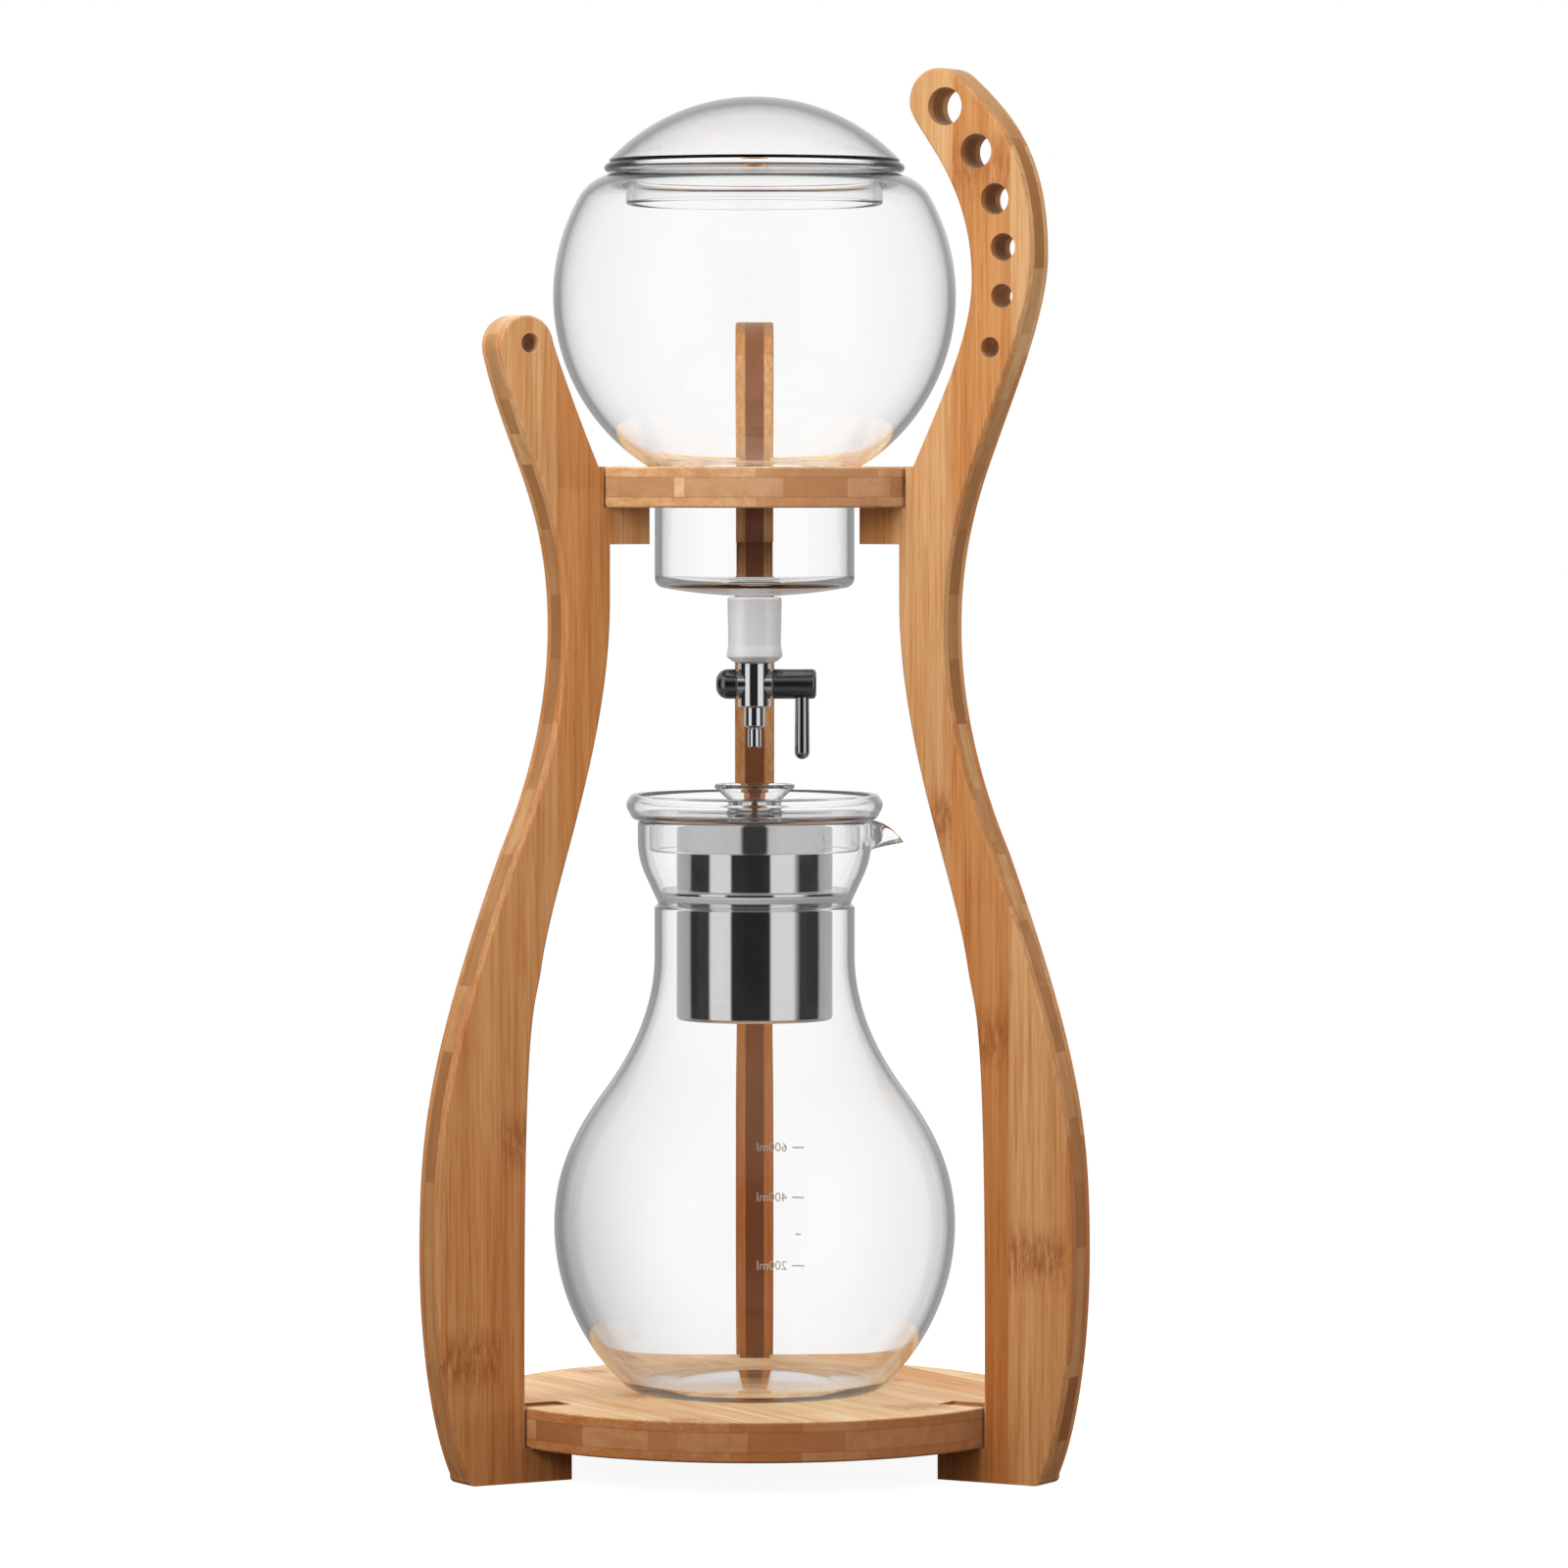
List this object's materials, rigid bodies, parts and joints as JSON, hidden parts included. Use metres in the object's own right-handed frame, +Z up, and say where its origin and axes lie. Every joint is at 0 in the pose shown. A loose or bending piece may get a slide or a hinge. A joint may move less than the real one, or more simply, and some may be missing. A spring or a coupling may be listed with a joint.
{
  "type": "cold drip coffee tower",
  "caption": "Cold drip coffee tower: three curved bamboo legs, a round base and shelf, a glass water vessel with a metering tap, and a glass carafe with a steel filter.",
  "frame": {"origin": "on the drip axis, at the level of the table", "axes": "+Z up along the drip axis, the front is -Y, the tall leg stands front right at +X"},
  "size_m": [0.1958, 0.1903, 0.4137],
  "materials": {
    "bamboo": "satin caramel bamboo ply, three plies to a board",
    "clear_glass": "clear blown borosilicate glass",
    "clear_silicone": "clear silicone, slightly cloudy",
    "polished_chrome": "mirror polished",
    "dark_chrome": "dark polished plating",
    "mirror_steel": "mirror polished stainless steel",
    "plain_steel": "plain stainless steel",
    "seal_rubber": "black sealing rings"
  },
  "bodies": {
    "frame": {"leg_front_left": "bamboo", "leg_front_right": "bamboo", "leg_back": "bamboo", "base_plate": "bamboo", "upper_shelf": "bamboo"},
    "vessel": {"water_vessel": "clear_glass", "outlet_stopper": "clear_silicone", "tap_inlet_tube": "plain_steel", "tap_body": "polished_chrome", "nozzle_stem": "polished_chrome", "drip_tip": "polished_chrome"},
    "tap_handle": {"tap_spindle": "plain_steel", "tap_knob": "dark_chrome", "tap_lever": "dark_chrome", "tap_end_cap": "dark_chrome", "tap_o_rings": "seal_rubber"},
    "vessel_cover": {"vessel_lid": "clear_glass"},
    "carafe_body": {"carafe": "clear_glass"},
    "filter": {"filter_cup": "mirror_steel", "filter_gasket": "clear_silicone", "filter_mesh": "plain_steel", "filter_mesh_ring": "plain_steel"},
    "carafe_cover": {"carafe_lid": "clear_glass"}
  },
  "joints": [
    {"name": "vessel_lift", "type": "slide", "parent": "frame", "child": "vessel", "axis": [0, 0, 1], "range_m": [0, 0.028]},
    {"name": "vessel_lid_lift", "type": "slide", "parent": "vessel", "child": "vessel_cover", "axis": [0, 0, 1], "range_m": [0, 0.06]},
    {"name": "tap_turn", "type": "hinge", "parent": "vessel", "child": "tap_handle", "pos_m": [0, 0, 0.2328], "axis": [1, 0, 0], "range_deg": [-90, 90]},
    {"name": "carafe_draw", "type": "slide", "parent": "frame", "child": "carafe_body", "axis": [0, -1, 0], "range_m": [0, 0.17]},
    {"name": "filter_lift", "type": "slide", "parent": "carafe_body", "child": "filter", "axis": [0, 0, 1], "range_m": [0, 0.0045]},
    {"name": "carafe_lid_lift", "type": "slide", "parent": "filter", "child": "carafe_cover", "axis": [0, 0, 1], "range_m": [0, 0.005]}
  ]
}
